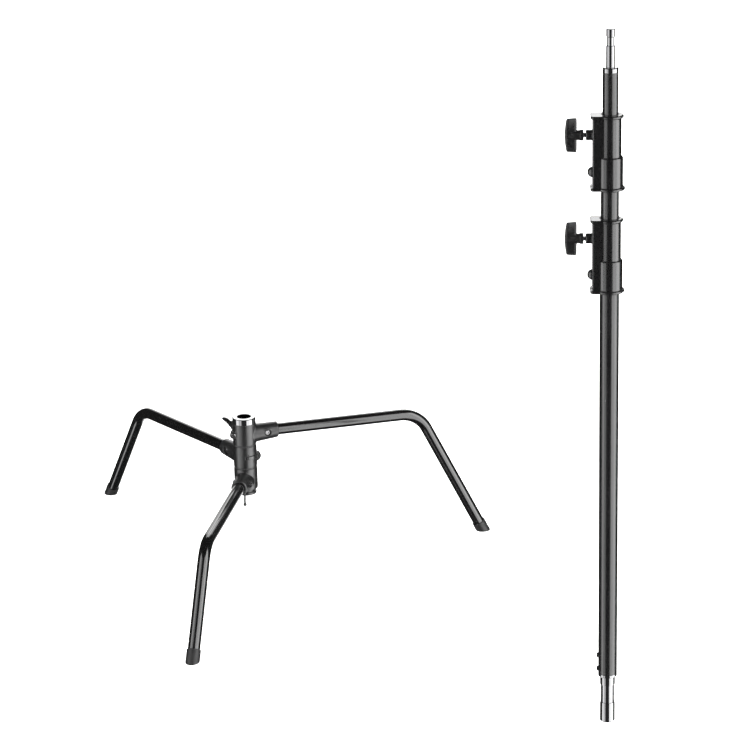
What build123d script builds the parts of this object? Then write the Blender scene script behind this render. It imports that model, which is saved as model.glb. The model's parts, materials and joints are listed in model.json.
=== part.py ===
from build123d import *
import os
from math import cos, hypot, radians, sin

os.makedirs("parts", exist_ok=True)

# ---------------------------------------------------------------- layout
# The stand is shown taken apart: the leg base stands open and the column stands
# beside it on its spigot.  All lengths are millimetres and the floor is z = 0.
# The origin is on the floor under the middle of the whole layout.
COLUMN_FROM_HUB = (732.0, -800.0)

# ---------------------------------------------------------------- general
OVERCUT = 1.0
CUTTER = 200.0
RUNNING_GAP = 0.05
SCREW_GAP = 0.1
PAD_GAP = 0.2
WINDOW_GAP = 0.3
CHAMBER_GAP = 0.6
FINE_CHAMFER = 0.6
SMALL_CHAMFER = 1.0
BROAD_CHAMFER = 1.5
SCREW_POINT = 0.8

# ---------------------------------------------------------------- leg base
LEG_AZIMUTH = {"right": 17.0, "left": 131.0, "front": -98.0}
LEG_HEIGHT = {"right": 290.0, "left": 240.0, "front": 190.0}
LEG_BEND_REACH = 385.0
LEG_FOOT_REACH = 530.0
LEG_TUBE_R = 12.5
LEG_TUBE_WALL = 2.0
LEG_BEND_R = 65.0
LEG_TUBE_START = 27.0
LEG_OVERRUN = 30.0
FOOT_SOLE = 3.0
FOOT_WALL = 1.8
FOOT_LENGTH = 24.0
FOOT_DROP = 18.0

CASTING_R = 25.0
CASTING_HEIGHT = 48.0
CASTING_CHAMFER = 1.2
SLEEVE_R = 17.0
SLEEVE_END = 72.0
SLEEVE_ROOT_R = 20.5
SLEEVE_ROOT_REACH = 10.0
SLEEVE_CHAMFER = 1.8
LUG_R = 8.0
LUG_OFFSET = 22.0
LUG_FACE = 19.0
LUG_SCREW_START = 2.0
LUG_SCREW_HEAD_R = 5.2
LUG_SCREW_HEAD = 3.6
WASHER_THICKNESS = 2.0
WASHER_INSET = 1.5
POST_R = 19.0
POST_INNER_R = 17.0
POST_BOTTOM = 154.0

SOCKET_TOP = 326.5
SOCKET_RING_R = 25.0
SOCKET_RING_HEIGHT = 12.5
SOCKET_BORE_R = 14.3
SOCKET_DEPTH = 96.0
SOCKET_MOUTH = 1.2
SOCKET_MOUTH_DROP = 0.5

RETAINER_R = 21.8
RETAINER_TOP = 159.2
RETAINER_HEIGHT = 5.2
RETAINER_SCREW_R = 1.5
RETAINER_SCREW_AZIMUTH = 80.0

LEG_BOLT_REACH = 47.0
LEG_BOLT_R = 3.0
LEG_BOLT_HEAD_R = 5.0
LEG_BOLT_SEAT = 13.0
LEG_BOLT_RECESS = 1.0
LEG_BOLT_OVERLAP = 0.5
LEG_BOLT_POCKET_R = 7.2
LEG_BOSS_R = 9.0
LEG_BOSS_REACH = 17.6
LEG_NUT_R = 5.0
LEG_NUT_HEIGHT = 4.0
LEG_NUT_DOME_R = 4.2
HEX_KEY = 5.0
HEX_KEY_DEPTH = 2.4

# ---------------------------------------------------------------- leg latches
LATCH_THICKNESS = 6.0
LATCH_GAP = 0.3
LATCH_PIN_R = 1.5
LATCH_PIN_REACH = 22.0
LATCH_SPAN = 58.0
LATCH_GROOVE_R = 18.0
LATCH_TAB_R = 11.5
LATCH_TAB_CENTRE = 23.0
LATCH_TAB_START = 26.2
LATCH_TAB_THICKNESS = 6.0
LATCH_PIVOT_AZIMUTH = {"left": -72.0, "front": -150.0}
LATCH_HEIGHT = {"left": 240.0, "front": 162.6}
LATCH_PIN_ENDS = {"left": (-14.0, 14.0), "front": (-3.0, 20.0)}
LATCH_EYE_R = 2.5
LATCH_BAND = (20.2, 26.5)
LATCH_BAND_START = 3.0
LATCH_NOSE = (3.4, 5.0)
LATCH_NOSE_REACH = 20.0
LATCH_NOSE_BACK = 7.0
LATCH_ARM_START = 22.0
LATCH_ARM_END = {"left": 31.0, "front": 29.0}
LATCH_ARM_WIDTH = 8.0
LATCH_SLOT = (15.0, 45.0)
LATCH_SLOT_BEFORE = 12.0
LATCH_SLOT_AFTER = 18.0
HORN_PATH = ((28.0, 0, 0), (34.0, 0, -9.0), (35.0, 0, -20.0))
HORN_R = 2.3
HORN_BALL = (35.0, 0, -23.0)
HORN_BALL_R = 3.8
SPRING_R = 2.15
SPRING_WIRE_R = 0.4
SPRING_PITCH = 1.1
SPRING_HEIGHT = 3.3
SPRING_LIFT = 0.9
SPRING_POCKET_R = 2.75
SPRING_POCKET_HEIGHT = 5.2

# ---------------------------------------------------------------- column
SPIGOT_R = 14.0
SPIGOT_GROOVE_R = 12.5
SPIGOT_GROOVE = (39.0, 75.0)
SPIGOT_LENGTH = 92.0
SPIGOT_LIP = 5.0
SPIGOT_PLUG = 55.0
SPIGOT_SCREW_HEIGHTS = (106.0, 133.0)
SPIGOT_SCREW_R = 2.5
SPIGOT_SCREW_START = 9.0
SPIGOT_SCREW_HOLE = 7.0
SPIGOT_SCREW_HEAD_R = 4.6
SPIGOT_SCREW_HEAD = 3.0
SPIGOT_SCREW_HEAD_CHAMFER = 0.9
SPIGOT_SCREW_KEY = 3.0
SPIGOT_SCREW_KEY_DEPTH = 2.0

BOTTOM_TUBE_R = 17.5
BOTTOM_TUBE_WALL = 1.0
MIDDLE_TUBE_R = 16.2
MIDDLE_TUBE_WALL = 1.2
MIDDLE_TUBE_BOTTOM = 240.0
TOP_TUBE_R = 14.0
TOP_TUBE_WALL = 1.5
TOP_TUBE_BOTTOM = 383.0
TOP_TUBE_TOP = 1243.0
GUIDE_HEIGHT = 20.0
GUIDE_PLUG = 18.0
GUIDE_WALL = 3.0
GUIDE_CHAMFER = 0.8
TUBE_STOP = 3.0

COLLAR_HEIGHT = 136.0
COLLAR_BOTTOM = {"lower": 842.0, "upper": 1031.0}
COLLAR_STEP = 61.0
COLLAR_TOP_R = 20.2
COLLAR_GRIP_R = 23.2
COLLAR_SHOULDER = 2.6
COLLAR_BLOCK_REACH = 31.5
COLLAR_BLOCK_HALF = 16.6
COLLAR_RIM = 3.8
COLLAR_RIM_HEIGHT = 5.6
COLLAR_RIM_CHAMFER = 1.7
COLLAR_CORNER_R = 2.5
COLLAR_SPLIT = 1.6
COLLAR_SPLIT_INSET = 3.0
COLLAR_BOLT_HEIGHT = 32.0
COLLAR_BOLT_R = 4.0
COLLAR_BOLT_HEAD_R = 9.5
COLLAR_BOLT_HEAD = 8.0
COLLAR_BOLT_RIM = 1.5
COLLAR_BOLT_DOME = 0.72
COLLAR_BOLT_CROWN = 0.35
COLLAR_BOLT_KEY_DEPTH = 4.0
BUSH_WALL = 1.6
BUSH_RECESS = 0.5

# ---------------------------------------------------------------- clamp screws
CLAMP_HEIGHT = 99.0
CLAMP_TRAVEL = 4.5
CLAMP_SCREW_R = 4.0
CLAMP_PAD_R = 5.0
CLAMP_PAD_LENGTH = 5.0
CLAMP_PAD_HORNS = 2.0
CLAMP_BOSS_R = 9.5
CLAMP_BOSS_REACH = 43.0
CLAMP_BOSS_ROOT = 5.0
KNOB_START = 47.0
KNOB_END = 80.0
KNOB_HUB_R = 10.0
KNOB_WING = 62.0
KNOB_WING_DEPTH = 22.0
KNOB_WING_THICKNESS = 11.0
KNOB_WING_BOW = 3.0
KNOB_SCREW_COVER = 14.0
KNOB_EDGE_R = 2.4
KNOB_TIP_SETBACK = 1.0
KNOB_TIP_SHARE = 0.45
KNOB_WAIST_SHARE = (0.45, 0.86)

SOCKET_CLAMP_AZIMUTH = 128.0
SOCKET_CLAMP_HEIGHT = 296.0
SOCKET_BOSS_R = 11.0
SOCKET_BOSS_REACH = 40.0
SOCKET_BOSS_CHAMFER = 2.0
HANDLE_START = 43.0
HANDLE_END = 62.0
HANDLE_WING = 46.0
HANDLE_WING_DEPTH = 13.0
HANDLE_WING_THICKNESS = 9.0
HANDLE_HUB_R = 8.0
HANDLE_LEAN = -40.0
HANDLE_SCREW_COVER = 6.0

# ---------------------------------------------------------------- baby pin
PIN_R = 7.94
PIN_NECK_R = 6.5
PIN_SHOULDER_R = 14.2
PIN_SHOULDER = 8.5
PIN_MAIN = 38.5
PIN_NECK = 15.0
PIN_HEAD = 15.0
PIN_PLUG = 40.0
PIN_RIVET_R = 2.0
PIN_RIVET_START = 8.0
PIN_RIVET_DROP = 8.0
PIN_RIVET_AZIMUTH = -60.0
LIP_CHAMFER = 0.8

# The whole layout's outline in plan, measured from the hub, puts the origin in its middle.
FOOT_MARGIN = (20.0, 18.0)
LEFT_EDGE = LEG_FOOT_REACH * cos(radians(LEG_AZIMUTH["left"])) - FOOT_MARGIN[0]
RIGHT_EDGE = COLUMN_FROM_HUB[0] + COLLAR_GRIP_R + COLLAR_RIM
FRONT_EDGE = COLUMN_FROM_HUB[1] - COLLAR_GRIP_R - COLLAR_RIM
REAR_EDGE = LEG_FOOT_REACH * sin(radians(LEG_AZIMUTH["left"])) + FOOT_MARGIN[1]
HUB_X = -(LEFT_EDGE + RIGHT_EDGE) / 2
HUB_Y = -(FRONT_EDGE + REAR_EDGE) / 2


# ---------------------------------------------------------------- helpers
def at_hub(shape):
    """Moves a shape from the hub's own frame to the layout's frame."""
    return Pos(HUB_X, HUB_Y, 0) * shape


def at_column(shape):
    """Moves a shape from the column's own frame to the layout's frame."""
    return Pos(HUB_X + COLUMN_FROM_HUB[0], HUB_Y + COLUMN_FROM_HUB[1], 0) * shape


def turned(shape, azimuth):
    """Turns a shape made along +X to an azimuth about the hub axis."""
    return Rot(0, 0, azimuth) * shape


def disc(radius, bottom, top):
    """A plain upright cylinder between two heights."""
    return Pos(0, 0, (bottom + top) / 2) * Cylinder(radius, top - bottom)


def ring(outer, inner, bottom, top):
    """An upright tube between two heights."""
    return disc(outer, bottom, top) - disc(inner, bottom - OVERCUT, top + OVERCUT)


def rod(radius, start, end, height=0.0):
    """A round bar along +X from start to end, at a height."""
    return Pos((start + end) / 2, 0, height) * Rot(0, 90, 0) * Cylinder(radius, end - start)


def cross_rod(radius, start, end, reach, height):
    """A round bar along +Y from start to end, at a reach along X and a height."""
    return Pos(reach, (start + end) / 2, height) * Rot(-90, 0, 0) * Cylinder(radius, end - start)


def hex_key(across, depth):
    """A hexagonal prism from z = 0 up, for the socket in a screw's head."""
    return extrude(RegularPolygon(across / 2, 6, major_radius=False), depth)


def under_foot(level):
    """A block that takes away everything below a level round a leg's foot."""
    return Pos(LEG_FOOT_REACH, 0, level - CUTTER / 2) * Box(2 * CUTTER, CUTTER, CUTTER)


def save(name, *solids):
    """Writes one node, whose solids stay separate."""
    pieces = [solid for shape in solids for solid in shape.solids()]
    export_step(pieces[0] if len(pieces) == 1 else Compound(children=pieces), f"parts/{name}.step")


# ---------------------------------------------------------------- legs
def leg_line(height):
    """The centre line of a leg: level out to the bend, then down past the floor."""
    slope = height / (LEG_FOOT_REACH - LEG_BEND_REACH)
    beyond = LEG_FOOT_REACH + LEG_OVERRUN
    points = [
        (LEG_TUBE_START, 0, height),
        (LEG_BEND_REACH, 0, height),
        (beyond, 0, -LEG_OVERRUN * slope),
    ]
    return FilletPolyline(*points, radius=LEG_BEND_R)


def leg_tube(height):
    """The bent tube of one leg, cut level above the sole of its foot."""
    line = leg_line(height)
    start = Plane(origin=line @ 0, z_dir=line % 0)
    section = start * (Circle(LEG_TUBE_R) - Circle(LEG_TUBE_R - LEG_TUBE_WALL))
    return sweep(section, path=line) - under_foot(FOOT_SOLE)


def leg_foot(height):
    """A slanted end cap: a sleeve round the tube with a flat sole on the floor."""
    run = LEG_FOOT_REACH - LEG_BEND_REACH
    length = hypot(run, height)
    down = (run / length, 0, -height / length)
    axis = Plane(origin=(LEG_FOOT_REACH, 0, 0), z_dir=down)
    sleeve = axis * Pos(0, 0, (FOOT_DROP - FOOT_LENGTH) / 2) * Cylinder(
        LEG_TUBE_R + FOOT_WALL, FOOT_LENGTH + FOOT_DROP
    )
    core = axis * Cylinder(LEG_TUBE_R, CUTTER)
    return sleeve - under_foot(0) - (core - under_foot(FOOT_SOLE))


def leg_bolt(height, side):
    """The cross bolt that pins a leg tube in its casting; side is the head's side of the leg."""
    face = LEG_BOSS_REACH - LEG_BOLT_RECESS
    head = cross_rod(LEG_BOLT_HEAD_R, LEG_BOLT_SEAT, face, LEG_BOLT_REACH, height)
    head = chamfer(head.edges().filter_by(GeomType.CIRCLE).sort_by(Axis.Y)[-1], FINE_CHAMFER)
    key = Pos(LEG_BOLT_REACH, face, height) * Rot(90, 0, 0) * hex_key(HEX_KEY, HEX_KEY_DEPTH)
    tip = LEG_BOSS_REACH + LEG_NUT_HEIGHT
    shank = cross_rod(LEG_BOLT_R, -tip, LEG_BOLT_SEAT + LEG_BOLT_OVERLAP, LEG_BOLT_REACH, height)
    bolt = head + shank - key
    return bolt if side > 0 else mirror(bolt, about=Plane.XZ)


def leg_nut(height, side):
    """The domed nut on the far end of the cross bolt."""
    base = LEG_BOSS_REACH
    nut = Pos(LEG_BOLT_REACH, -base, height) * Rot(90, 0, 0) * hex_key(2 * LEG_NUT_R, LEG_NUT_HEIGHT)
    dome = Pos(LEG_BOLT_REACH, -base - LEG_NUT_HEIGHT, height) * Sphere(LEG_NUT_DOME_R)
    inner = cross_rod(LEG_BOLT_R, -base - LEG_NUT_HEIGHT, 0.0, LEG_BOLT_REACH, height)
    solid = nut + dome - inner - cross_rod(2 * LEG_NUT_R, -base, 0.0, LEG_BOLT_REACH, height)
    return solid if side > 0 else mirror(solid, about=Plane.XZ)


# ---------------------------------------------------------------- castings
def leg_sleeve(height):
    """The socket of a leg tube: level on top, and deeper below towards the hub."""
    root_plane = Plane(origin=(SLEEVE_ROOT_REACH, 0, height + SLEEVE_R - SLEEVE_ROOT_R), z_dir=(1, 0, 0))
    mouth_plane = Plane(origin=(SLEEVE_END, 0, height), z_dir=(1, 0, 0))
    sleeve = loft([root_plane * Circle(SLEEVE_ROOT_R), mouth_plane * Circle(SLEEVE_R)])
    return chamfer(sleeve.edges().filter_by(GeomType.CIRCLE).sort_by(Axis.X)[-1], SLEEVE_CHAMFER)


def leg_casting(height, bore, side):
    """A round hub casting with a sleeve that holds one leg tube along +X."""
    low = height - CASTING_HEIGHT / 2
    high = height + CASTING_HEIGHT / 2
    body = disc(CASTING_R, low, high)
    body = chamfer(body.edges().filter_by(GeomType.CIRCLE), CASTING_CHAMFER)
    boss = cross_rod(LEG_BOSS_R, -LEG_BOSS_REACH, LEG_BOSS_REACH, LEG_BOLT_REACH, height)
    casting = body + leg_sleeve(height) + boss
    casting -= disc(bore, low - OVERCUT, high + OVERCUT)
    casting -= rod(LEG_TUBE_R, LEG_TUBE_START, SLEEVE_END + OVERCUT, height)
    through = LEG_BOSS_REACH + OVERCUT
    casting -= cross_rod(LEG_BOLT_R, -through, through, LEG_BOLT_REACH, height)
    seats = cross_rod(LEG_BOLT_POCKET_R, LEG_BOLT_SEAT, SLEEVE_ROOT_R, LEG_BOLT_REACH, height)
    seats += cross_rod(LEG_BOSS_R, -SLEEVE_ROOT_R, -LEG_BOSS_REACH, LEG_BOLT_REACH, height)
    return casting - (seats if side > 0 else mirror(seats, about=Plane.XZ))


def bolted_leg_tube(height):
    """The leg tube with the holes for its cross bolt."""
    holes = cross_rod(LEG_BOLT_R, -2 * LEG_TUBE_R, 2 * LEG_TUBE_R, LEG_BOLT_REACH, height)
    return leg_tube(height) - holes


LEG_SIDE = {"right": -1, "left": 1, "front": -1}


def build_leg(name):
    """The tube, foot, bolt and nut of one leg."""
    height = LEG_HEIGHT[name]
    azimuth = LEG_AZIMUTH[name]
    side = LEG_SIDE[name]
    save(f"{name}_leg_tube", at_hub(turned(bolted_leg_tube(height), azimuth)))
    save(f"{name}_foot", at_hub(turned(leg_foot(height), azimuth)))
    save(f"{name}_leg_bolt", at_hub(turned(leg_bolt(height, side), azimuth)))
    save(f"{name}_leg_nut", at_hub(turned(leg_nut(height, side), azimuth)))


# ---------------------------------------------------------------- T-handles and clamps
def t_knob(start, end, wing, wing_depth, thickness, hub_r):
    """A T-shaped hand knob on a screw along +X; the wing stands across Z at the outer end."""
    tip = end - KNOB_TIP_SETBACK
    waist, waist_share = KNOB_WAIST_SHARE
    cone = Plane.XZ * make_face(
        Polyline(
            (start, 0),
            (start, hub_r),
            (start + waist * (end - start), waist_share * hub_r),
            (tip, KNOB_TIP_SHARE * hub_r),
            (tip, 0),
            (start, 0),
        )
    )
    inner = end - wing_depth
    half = wing / 2
    corner = end - KNOB_WING_BOW
    outline = make_face(
        Polyline((corner, -half), (inner, -half), (inner, half), (corner, half))
        + ThreePointArc((corner, half), (end, 0), (corner, -half))
    )
    plate = extrude(Plane.XZ * outline, thickness / 2, both=True)
    faces = plate.edges().group_by(Axis.Y)
    plate = fillet(faces[0] + faces[-1], KNOB_EDGE_R)
    return revolve(cone, axis=Axis.X) + plate


def clamp_screw(tip, head):
    """The threaded rod of a T-knob, from its tip at the pad into the knob."""
    screw = rod(CLAMP_SCREW_R, tip, head)
    return chamfer(screw.edges().filter_by(GeomType.CIRCLE).sort_by(Axis.X)[0], SCREW_POINT)


def clamp_pad(tip, tube_r):
    """The pad that bears on the inner tube; its face is hollowed to the tube's radius."""
    pad = rod(CLAMP_PAD_R, tip - CLAMP_PAD_HORNS, tip + CLAMP_PAD_LENGTH)
    return pad - disc(tube_r, -2 * CLAMP_PAD_R, 2 * CLAMP_PAD_R)


# ---------------------------------------------------------------- collars
def keyhole(round_r, grow=0.0):
    """The collar's plan outline: a round body with a square block towards +X."""
    reach = COLLAR_BLOCK_REACH + grow
    half = COLLAR_BLOCK_HALF + grow
    block = Pos(reach / 2, 0) * Rectangle(reach, 2 * half)
    block = fillet(block.vertices().group_by(Axis.X)[-1], COLLAR_CORNER_R + grow)
    return Circle(round_r + grow) + block


def collar_rim(round_r, bottom):
    """A bead round the collar's outline."""
    rim = Pos(0, 0, bottom) * extrude(keyhole(round_r, COLLAR_RIM), COLLAR_RIM_HEIGHT)
    faces = rim.edges().group_by(Axis.Z)
    return chamfer(faces[0] + faces[-1], COLLAR_RIM_CHAMFER)


def collar(tube_r, riser_r):
    """A clamp collar from z = 0: a grip round the outer tube and a bushed neck round the riser."""
    grip = disc(COLLAR_GRIP_R, 0, COLLAR_STEP)
    grip = chamfer(grip.edges().filter_by(GeomType.CIRCLE).sort_by(Axis.Z)[-1], COLLAR_SHOULDER)
    neck = extrude(keyhole(COLLAR_TOP_R), COLLAR_HEIGHT)
    boss = rod(CLAMP_BOSS_R, COLLAR_BLOCK_REACH - CLAMP_BOSS_ROOT, CLAMP_BOSS_REACH, CLAMP_HEIGHT)
    boss = chamfer(boss.edges().filter_by(GeomType.CIRCLE).sort_by(Axis.X)[-1], BROAD_CHAMFER)
    low_rim = collar_rim(COLLAR_GRIP_R, 0)
    high_rim = collar_rim(COLLAR_TOP_R, COLLAR_HEIGHT - COLLAR_RIM_HEIGHT)
    body = grip + neck + low_rim + high_rim + boss
    body -= disc(tube_r, -OVERCUT, COLLAR_STEP + TUBE_STOP)
    body -= disc(riser_r + BUSH_WALL, COLLAR_STEP, COLLAR_HEIGHT + OVERCUT)
    body -= rod(CLAMP_SCREW_R + SCREW_GAP, 0, CLAMP_BOSS_REACH + OVERCUT, CLAMP_HEIGHT)
    chamber = riser_r + CLAMP_PAD_LENGTH + CLAMP_TRAVEL + CHAMBER_GAP
    body -= rod(CLAMP_PAD_R + PAD_GAP, 0, chamber, CLAMP_HEIGHT)
    body -= rod(COLLAR_BOLT_R, 0, COLLAR_BLOCK_REACH + OVERCUT, COLLAR_BOLT_HEIGHT)
    split_reach = COLLAR_BLOCK_REACH + 2 * COLLAR_RIM
    split_height = COLLAR_STEP + OVERCUT
    split = Box(split_reach, COLLAR_SPLIT, split_height, align=(Align.MIN, Align.CENTER, Align.MIN))
    return body - Pos(tube_r - COLLAR_SPLIT_INSET, 0, -OVERCUT) * split


def collar_bush(riser_r):
    """The plastic liner that the riser slides in, with a window for the clamp pad."""
    low = COLLAR_STEP + TUBE_STOP
    bush = ring(riser_r + BUSH_WALL, riser_r + RUNNING_GAP, low, COLLAR_HEIGHT - BUSH_RECESS)
    return bush - rod(CLAMP_PAD_R + WINDOW_GAP, 0, CLAMP_BOSS_REACH, CLAMP_HEIGHT)


def collar_bolt(tube_r):
    """The dome-headed bolt that fixes the collar to its tube."""
    face = COLLAR_BLOCK_REACH + COLLAR_BOLT_HEAD
    corner = (COLLAR_BLOCK_REACH, COLLAR_BOLT_HEAD_R)
    edge = (COLLAR_BLOCK_REACH + COLLAR_BOLT_RIM, COLLAR_BOLT_HEAD_R)
    dome_reach = COLLAR_BLOCK_REACH + COLLAR_BOLT_DOME * COLLAR_BOLT_HEAD
    dome_middle = (dome_reach, COLLAR_BOLT_DOME * COLLAR_BOLT_HEAD_R)
    crown = (face, COLLAR_BOLT_CROWN * COLLAR_BOLT_HEAD_R)
    profile = (
        Polyline((face, 0), (COLLAR_BLOCK_REACH, 0), corner, edge)
        + ThreePointArc(edge, dome_middle, crown)
        + Line(crown, (face, 0))
    )
    head = Pos(0, 0, COLLAR_BOLT_HEIGHT) * revolve(Plane.XZ * make_face(profile), axis=Axis.X)
    key = Pos(face, 0, COLLAR_BOLT_HEIGHT) * Rot(0, -90, 0) * hex_key(HEX_KEY, COLLAR_BOLT_KEY_DEPTH)
    shank = rod(COLLAR_BOLT_R, tube_r, COLLAR_BLOCK_REACH + LEG_BOLT_OVERLAP, COLLAR_BOLT_HEIGHT)
    shank -= disc(tube_r, 0, COLLAR_STEP)
    return head + shank - key


def to_left(shape):
    """Turns a part made towards +X so that it points to the column's -X side."""
    return Rot(0, 0, 180) * shape


def build_clamped_collar(name, tube_r, riser_r):
    """One collar with its liner, bolt, pad, screw and knob."""
    base = COLLAR_BOTTOM[name]

    def place(shape):
        return at_column(Pos(0, 0, base) * to_left(shape))

    def place_clamp(shape):
        return place(Pos(0, 0, CLAMP_HEIGHT) * shape)

    pad_back = riser_r + CLAMP_PAD_LENGTH
    save(f"{name}_collar", place(collar(tube_r, riser_r)))
    save(f"{name}_collar_bush", place(collar_bush(riser_r)))
    save(f"{name}_collar_bolt", place(collar_bolt(tube_r)))
    save(f"{name}_clamp_pad", place_clamp(clamp_pad(riser_r, riser_r + RUNNING_GAP)))
    screw_end = KNOB_END - KNOB_SCREW_COVER
    save(f"{name}_clamp_screw", place_clamp(clamp_screw(pad_back, screw_end)))
    knob = t_knob(KNOB_START, KNOB_END, KNOB_WING, KNOB_WING_DEPTH, KNOB_WING_THICKNESS, KNOB_HUB_R)
    save(f"{name}_clamp_knob", place_clamp(knob - rod(CLAMP_SCREW_R, 0, screw_end)))


# ---------------------------------------------------------------- hub
def centre_tube():
    """The post that the three leg castings are stacked on."""
    top = LEG_HEIGHT["right"] + CASTING_HEIGHT / 2
    post = ring(POST_R, POST_INNER_R, POST_BOTTOM, top)
    clamp = rod(CLAMP_PAD_R + WINDOW_GAP, 0, SOCKET_BOSS_REACH, SOCKET_CLAMP_HEIGHT)
    for latch_height in LATCH_HEIGHT.values():
        half = LATCH_THICKNESS / 2 + LATCH_GAP
        post -= ring(POST_R + OVERCUT, LATCH_GROOVE_R, latch_height - half, latch_height + half)
    return post - turned(clamp, SOCKET_CLAMP_AZIMUTH)


def socket_ring():
    """The bright receiver: a rim on top and a liner inside the post for the column's spigot."""
    rim_bottom = SOCKET_TOP - SOCKET_RING_HEIGHT
    rim = disc(SOCKET_RING_R, rim_bottom, SOCKET_TOP)
    rim = chamfer(rim.edges().filter_by(GeomType.CIRCLE).sort_by(Axis.Z)[-1], CASTING_CHAMFER)
    liner = disc(POST_INNER_R, SOCKET_TOP - SOCKET_DEPTH, rim_bottom + OVERCUT)
    body = rim + liner - disc(SOCKET_BORE_R, 0, SOCKET_TOP + OVERCUT)
    mouth = Cone(SOCKET_BORE_R, SOCKET_BORE_R + SOCKET_MOUTH, SOCKET_MOUTH)
    mouth = Pos(0, 0, SOCKET_TOP - SOCKET_MOUTH_DROP) * mouth
    clamp = rod(CLAMP_PAD_R + WINDOW_GAP, 0, SOCKET_BOSS_REACH, SOCKET_CLAMP_HEIGHT)
    return body - mouth - turned(clamp, SOCKET_CLAMP_AZIMUTH)


def lug_rod(radius, start, end):
    """A round bar on the lug's axis, which runs towards the viewer beside the post."""
    return Pos(-LUG_OFFSET, 0, LEG_HEIGHT["right"]) * Rot(0, 0, -90) * rod(radius, start, end)


def upper_leg_casting():
    """The fixed casting: it carries the right leg, the socket's clamp boss and the pinch lug."""
    height = LEG_HEIGHT["right"]
    casting = turned(leg_casting(height, POST_R, LEG_SIDE["right"]), LEG_AZIMUTH["right"])
    boss = rod(SOCKET_BOSS_R, POST_R + OVERCUT, SOCKET_BOSS_REACH, SOCKET_CLAMP_HEIGHT)
    boss = chamfer(boss.edges().filter_by(GeomType.CIRCLE).sort_by(Axis.X)[-1], SOCKET_BOSS_CHAMFER)
    chamber = SOCKET_BORE_R + PAD_GAP + CLAMP_PAD_LENGTH + CHAMBER_GAP
    boss_cuts = rod(CLAMP_SCREW_R + SCREW_GAP, 0, SOCKET_BOSS_REACH + OVERCUT, SOCKET_CLAMP_HEIGHT)
    boss_cuts += rod(CLAMP_PAD_R + WINDOW_GAP, 0, chamber, SOCKET_CLAMP_HEIGHT)
    lug = lug_rod(LUG_R, 0.0, LUG_FACE)
    lug = chamfer(lug.edges().filter_by(GeomType.CIRCLE).sort_by(Axis.Y)[0], SMALL_CHAMFER)
    casting += turned(boss, SOCKET_CLAMP_AZIMUTH) + lug
    casting -= disc(POST_R, 0, SOCKET_TOP)
    casting -= turned(boss_cuts, SOCKET_CLAMP_AZIMUTH)
    return casting - lug_rod(LEG_BOLT_R, LUG_SCREW_START, LUG_FACE + OVERCUT)


def casting_screw():
    """The bright screw in the lug that locks the upper casting to the post."""
    face = LUG_FACE + LUG_SCREW_HEAD
    screw = lug_rod(LEG_BOLT_R, LUG_SCREW_START, LUG_FACE) + lug_rod(LUG_SCREW_HEAD_R, LUG_FACE, face)
    screw = chamfer(screw.edges().filter_by(GeomType.CIRCLE).sort_by(Axis.Y)[0], FINE_CHAMFER)
    key = Rot(-90, 0, 0) * hex_key(HEX_KEY, HEX_KEY_DEPTH)
    key = Pos(-LUG_OFFSET, -face, LEG_HEIGHT["right"]) * key
    return screw - disc(POST_R, 0, SOCKET_TOP) - key


def hub_retainer():
    """The ring under the stack that keeps the castings on the post."""
    body = disc(RETAINER_R, RETAINER_TOP - RETAINER_HEIGHT, RETAINER_TOP)
    body = chamfer(body.edges().filter_by(GeomType.CIRCLE).sort_by(Axis.Z)[0], SMALL_CHAMFER)
    body -= disc(POST_R, 0, SOCKET_TOP)
    hole = rod(RETAINER_SCREW_R, 0, CASTING_R, RETAINER_TOP - RETAINER_HEIGHT / 2)
    return body - turned(hole, RETAINER_SCREW_AZIMUTH)


def retainer_screw():
    """The grub screw that locks the retaining ring to the post."""
    screw = rod(RETAINER_SCREW_R, 0, RETAINER_R, RETAINER_TOP - RETAINER_HEIGHT / 2)
    return turned(screw - disc(POST_R, 0, SOCKET_TOP), RETAINER_SCREW_AZIMUTH)


def build_hub():
    """The post, socket, castings, washers, retainer and the socket's clamp."""
    save("centre_tube", at_hub(centre_tube()))
    save("socket_ring", at_hub(socket_ring()))
    save("upper_leg_casting", at_hub(upper_leg_casting()))
    save("casting_screw", at_hub(casting_screw()))
    for name, leg in {"upper": "left", "lower": "front"}.items():
        seat = LEG_HEIGHT[leg] + CASTING_HEIGHT / 2
        washer = ring(CASTING_R - WASHER_INSET, POST_R + RUNNING_GAP, seat, seat + WASHER_THICKNESS)
        save(f"{name}_thrust_washer", at_hub(washer))
    save("hub_retainer", at_hub(hub_retainer()))
    save("retainer_screw", at_hub(retainer_screw()))

    def place(shape):
        return at_hub(turned(Pos(0, 0, SOCKET_CLAMP_HEIGHT) * shape, SOCKET_CLAMP_AZIMUTH))

    tip = SOCKET_BORE_R + PAD_GAP
    screw_end = HANDLE_END - HANDLE_SCREW_COVER
    save("socket_clamp_pad", place(clamp_pad(tip, tip)))
    save("socket_clamp_screw", place(clamp_screw(tip + CLAMP_PAD_LENGTH, screw_end)))
    handle = t_knob(
        HANDLE_START, HANDLE_END, HANDLE_WING, HANDLE_WING_DEPTH, HANDLE_WING_THICKNESS, HANDLE_HUB_R
    )
    handle = Rot(HANDLE_LEAN, 0, 0) * (handle - rod(CLAMP_SCREW_R, 0, screw_end))
    save("socket_clamp_handle", place(handle))


# ---------------------------------------------------------------- leg latches
def band(inner, outer, start, end):
    """A flat arc-shaped strip about the hub axis between two azimuths."""
    rim = CenterArc((0, 0), outer, start, end - start)
    hollow = CenterArc((0, 0), inner, start, end - start)
    return make_face(rim + Line(rim @ 1, hollow @ 1) + hollow + Line(hollow @ 0, rim @ 0))


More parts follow.
